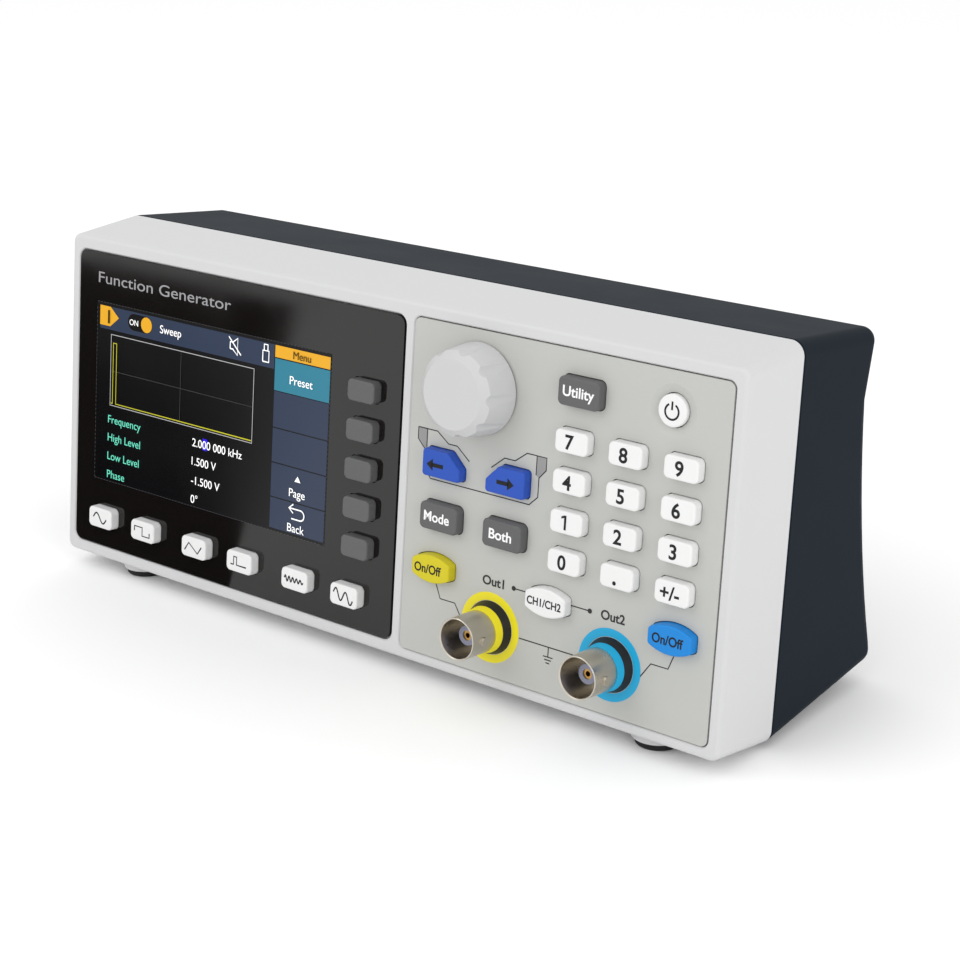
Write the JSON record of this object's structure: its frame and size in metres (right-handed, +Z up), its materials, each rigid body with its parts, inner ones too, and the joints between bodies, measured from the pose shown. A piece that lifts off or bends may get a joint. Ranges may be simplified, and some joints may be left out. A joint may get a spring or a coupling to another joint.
{
  "type": "function generator",
  "caption": "Bench function generator with a colour screen, softkeys, waveform keys, a numeric keypad, a fluted knob and bayonet outputs, leaning back on rubber feet.",
  "frame": {"origin": "centre of the footprint's box, on the surface the feet stand on", "axes": "+X to the right seen from the front, +Y towards the back, +Z up; the front leans back 5.5 degrees"},
  "size_m": [0.203, 0.0756, 0.0887],
  "materials": {
    "frame_plastic": "fine satin texture",
    "case_plastic": "dark matte texture",
    "window_gloss": "high gloss",
    "panel_plastic": "fine grain",
    "white_key": "satin",
    "grey_key": "satin",
    "blue_key": "satin",
    "yellow_key": "satin",
    "sky_key": "satin",
    "knob_plastic": "satin",
    "yellow_ring": "gloss",
    "blue_ring": "gloss",
    "black_plastic": "matte",
    "nickel": "turned nickel plate",
    "bright_metal": "plain",
    "insulator": "smooth",
    "contact_brass": "plain",
    "screen_glass": "smooth",
    "silicone": "matte",
    "circuit_board": "solder resist",
    "foot_rubber": "matte"
  },
  "bodies": {
    "case": {"front_frame": "frame_plastic", "rear_case": "case_plastic", "display_window": "window_gloss", "keypad_panel": "panel_plastic", "output_1_shell": "nickel", "output_2_shell": "nickel", "output_1_ring": "yellow_ring", "output_2_ring": "blue_ring", "output_insulators": "insulator", "output_contacts": "contact_brass", "output_nuts": "nickel", "output_spacers": "black_plastic", "encoder_body": "bright_metal", "encoder_bushing": "bright_metal", "encoder_nut": "bright_metal", "lcd_frame": "bright_metal", "lcd_panel": "screen_glass", "key_mat": "silicone", "key_board": "circuit_board", "main_board": "circuit_board", "power_board": "circuit_board", "power_inlet": "black_plastic", "inlet_pins": "contact_brass", "usb_socket": "nickel", "case_screws": "bright_metal", "rubber_feet": "foot_rubber"},
    "knob": {"knob": "knob_plastic", "encoder_shaft": "bright_metal"},
    "soft_key_1": {"soft_key_1": "grey_key"},
    "soft_key_2": {"soft_key_2": "grey_key"},
    "soft_key_3": {"soft_key_3": "grey_key"},
    "soft_key_4": {"soft_key_4": "grey_key"},
    "soft_key_5": {"soft_key_5": "grey_key"},
    "sine_key": {"sine_key": "white_key"},
    "square_key": {"square_key": "white_key"},
    "ramp_key": {"ramp_key": "white_key"},
    "pulse_key": {"pulse_key": "white_key"},
    "noise_key": {"noise_key": "white_key"},
    "arbitrary_key": {"arbitrary_key": "white_key"},
    "number_key_7": {"number_key_7": "white_key"},
    "number_key_8": {"number_key_8": "white_key"},
    "number_key_9": {"number_key_9": "white_key"},
    "number_key_4": {"number_key_4": "white_key"},
    "number_key_5": {"number_key_5": "white_key"},
    "number_key_6": {"number_key_6": "white_key"},
    "number_key_1": {"number_key_1": "white_key"},
    "number_key_2": {"number_key_2": "white_key"},
    "number_key_3": {"number_key_3": "white_key"},
    "number_key_0": {"number_key_0": "white_key"},
    "number_key_point": {"number_key_point": "white_key"},
    "number_key_sign": {"number_key_sign": "white_key"},
    "utility_key": {"utility_key": "grey_key"},
    "mode_key": {"mode_key": "grey_key"},
    "both_key": {"both_key": "grey_key"},
    "left_key": {"left_key": "blue_key"},
    "right_key": {"right_key": "blue_key"},
    "output_1_key": {"output_1_key": "yellow_key"},
    "channel_key": {"channel_key": "white_key"},
    "output_2_key": {"output_2_key": "sky_key"},
    "power_button": {"power_button": "white_key"}
  },
  "joints": [
    {"name": "knob_turn", "type": "hinge", "parent": "case", "child": "knob", "pos_m": [0.0331, -0.02543, 0.07162], "axis": [0, -0.9954, 0.0958], "continuous": true},
    {"name": "soft_key_1_press", "type": "slide", "parent": "case", "child": "soft_key_1", "axis": [0, 0.9954, -0.0958], "range_m": [0, 0.0008], "stiffness_N_per_m": 1800, "springref_m": -0.0002},
    {"name": "soft_key_2_press", "type": "slide", "parent": "case", "child": "soft_key_2", "axis": [0, 0.9954, -0.0958], "range_m": [0, 0.0008], "stiffness_N_per_m": 1800, "springref_m": -0.0002},
    {"name": "soft_key_3_press", "type": "slide", "parent": "case", "child": "soft_key_3", "axis": [0, 0.9954, -0.0958], "range_m": [0, 0.0008], "stiffness_N_per_m": 1800, "springref_m": -0.0002},
    {"name": "soft_key_4_press", "type": "slide", "parent": "case", "child": "soft_key_4", "axis": [0, 0.9954, -0.0958], "range_m": [0, 0.0008], "stiffness_N_per_m": 1800, "springref_m": -0.0002},
    {"name": "soft_key_5_press", "type": "slide", "parent": "case", "child": "soft_key_5", "axis": [0, 0.9954, -0.0958], "range_m": [0, 0.0008], "stiffness_N_per_m": 1800, "springref_m": -0.0002},
    {"name": "sine_key_press", "type": "slide", "parent": "case", "child": "sine_key", "axis": [0, 0.9954, -0.0958], "range_m": [0, 0.0008], "stiffness_N_per_m": 1800, "springref_m": -0.0002},
    {"name": "square_key_press", "type": "slide", "parent": "case", "child": "square_key", "axis": [0, 0.9954, -0.0958], "range_m": [0, 0.0008], "stiffness_N_per_m": 1800, "springref_m": -0.0002},
    {"name": "ramp_key_press", "type": "slide", "parent": "case", "child": "ramp_key", "axis": [0, 0.9954, -0.0958], "range_m": [0, 0.0008], "stiffness_N_per_m": 1800, "springref_m": -0.0002},
    {"name": "pulse_key_press", "type": "slide", "parent": "case", "child": "pulse_key", "axis": [0, 0.9954, -0.0958], "range_m": [0, 0.0008], "stiffness_N_per_m": 1800, "springref_m": -0.0002},
    {"name": "noise_key_press", "type": "slide", "parent": "case", "child": "noise_key", "axis": [0, 0.9954, -0.0958], "range_m": [0, 0.0008], "stiffness_N_per_m": 1800, "springref_m": -0.0002},
    {"name": "arbitrary_key_press", "type": "slide", "parent": "case", "child": "arbitrary_key", "axis": [0, 0.9954, -0.0958], "range_m": [0, 0.0008], "stiffness_N_per_m": 1800, "springref_m": -0.0002},
    {"name": "number_key_7_press", "type": "slide", "parent": "case", "child": "number_key_7", "axis": [0, 0.9954, -0.0958], "range_m": [0, 0.0008], "stiffness_N_per_m": 1800, "springref_m": -0.0002},
    {"name": "number_key_8_press", "type": "slide", "parent": "case", "child": "number_key_8", "axis": [0, 0.9954, -0.0958], "range_m": [0, 0.0008], "stiffness_N_per_m": 1800, "springref_m": -0.0002},
    {"name": "number_key_9_press", "type": "slide", "parent": "case", "child": "number_key_9", "axis": [0, 0.9954, -0.0958], "range_m": [0, 0.0008], "stiffness_N_per_m": 1800, "springref_m": -0.0002},
    {"name": "number_key_4_press", "type": "slide", "parent": "case", "child": "number_key_4", "axis": [0, 0.9954, -0.0958], "range_m": [0, 0.0008], "stiffness_N_per_m": 1800, "springref_m": -0.0002},
    {"name": "number_key_5_press", "type": "slide", "parent": "case", "child": "number_key_5", "axis": [0, 0.9954, -0.0958], "range_m": [0, 0.0008], "stiffness_N_per_m": 1800, "springref_m": -0.0002},
    {"name": "number_key_6_press", "type": "slide", "parent": "case", "child": "number_key_6", "axis": [0, 0.9954, -0.0958], "range_m": [0, 0.0008], "stiffness_N_per_m": 1800, "springref_m": -0.0002},
    {"name": "number_key_1_press", "type": "slide", "parent": "case", "child": "number_key_1", "axis": [0, 0.9954, -0.0958], "range_m": [0, 0.0008], "stiffness_N_per_m": 1800, "springref_m": -0.0002},
    {"name": "number_key_2_press", "type": "slide", "parent": "case", "child": "number_key_2", "axis": [0, 0.9954, -0.0958], "range_m": [0, 0.0008], "stiffness_N_per_m": 1800, "springref_m": -0.0002},
    {"name": "number_key_3_press", "type": "slide", "parent": "case", "child": "number_key_3", "axis": [0, 0.9954, -0.0958], "range_m": [0, 0.0008], "stiffness_N_per_m": 1800, "springref_m": -0.0002},
    {"name": "number_key_0_press", "type": "slide", "parent": "case", "child": "number_key_0", "axis": [0, 0.9954, -0.0958], "range_m": [0, 0.0008], "stiffness_N_per_m": 1800, "springref_m": -0.0002},
    {"name": "number_key_point_press", "type": "slide", "parent": "case", "child": "number_key_point", "axis": [0, 0.9954, -0.0958], "range_m": [0, 0.0008], "stiffness_N_per_m": 1800, "springref_m": -0.0002},
    {"name": "number_key_sign_press", "type": "slide", "parent": "case", "child": "number_key_sign", "axis": [0, 0.9954, -0.0958], "range_m": [0, 0.0008], "stiffness_N_per_m": 1800, "springref_m": -0.0002},
    {"name": "utility_key_press", "type": "slide", "parent": "case", "child": "utility_key", "axis": [0, 0.9954, -0.0958], "range_m": [0, 0.0008], "stiffness_N_per_m": 1800, "springref_m": -0.0002},
    {"name": "mode_key_press", "type": "slide", "parent": "case", "child": "mode_key", "axis": [0, 0.9954, -0.0958], "range_m": [0, 0.0008], "stiffness_N_per_m": 1800, "springref_m": -0.0002},
    {"name": "both_key_press", "type": "slide", "parent": "case", "child": "both_key", "axis": [0, 0.9954, -0.0958], "range_m": [0, 0.0008], "stiffness_N_per_m": 1800, "springref_m": -0.0002},
    {"name": "left_key_press", "type": "slide", "parent": "case", "child": "left_key", "axis": [0, 0.9954, -0.0958], "range_m": [0, 0.0008], "stiffness_N_per_m": 1800, "springref_m": -0.0002},
    {"name": "right_key_press", "type": "slide", "parent": "case", "child": "right_key", "axis": [0, 0.9954, -0.0958], "range_m": [0, 0.0008], "stiffness_N_per_m": 1800, "springref_m": -0.0002},
    {"name": "output_1_key_press", "type": "slide", "parent": "case", "child": "output_1_key", "axis": [0, 0.9954, -0.0958], "range_m": [0, 0.0008], "stiffness_N_per_m": 1800, "springref_m": -0.0002},
    {"name": "channel_key_press", "type": "slide", "parent": "case", "child": "channel_key", "axis": [0, 0.9954, -0.0958], "range_m": [0, 0.0008], "stiffness_N_per_m": 1800, "springref_m": -0.0002},
    {"name": "output_2_key_press", "type": "slide", "parent": "case", "child": "output_2_key", "axis": [0, 0.9954, -0.0958], "range_m": [0, 0.0008], "stiffness_N_per_m": 1800, "springref_m": -0.0002},
    {"name": "power_button_press", "type": "slide", "parent": "case", "child": "power_button", "axis": [0, 0.9954, -0.0958], "range_m": [0, 0.0008], "stiffness_N_per_m": 1800, "springref_m": -0.0002}
  ]
}
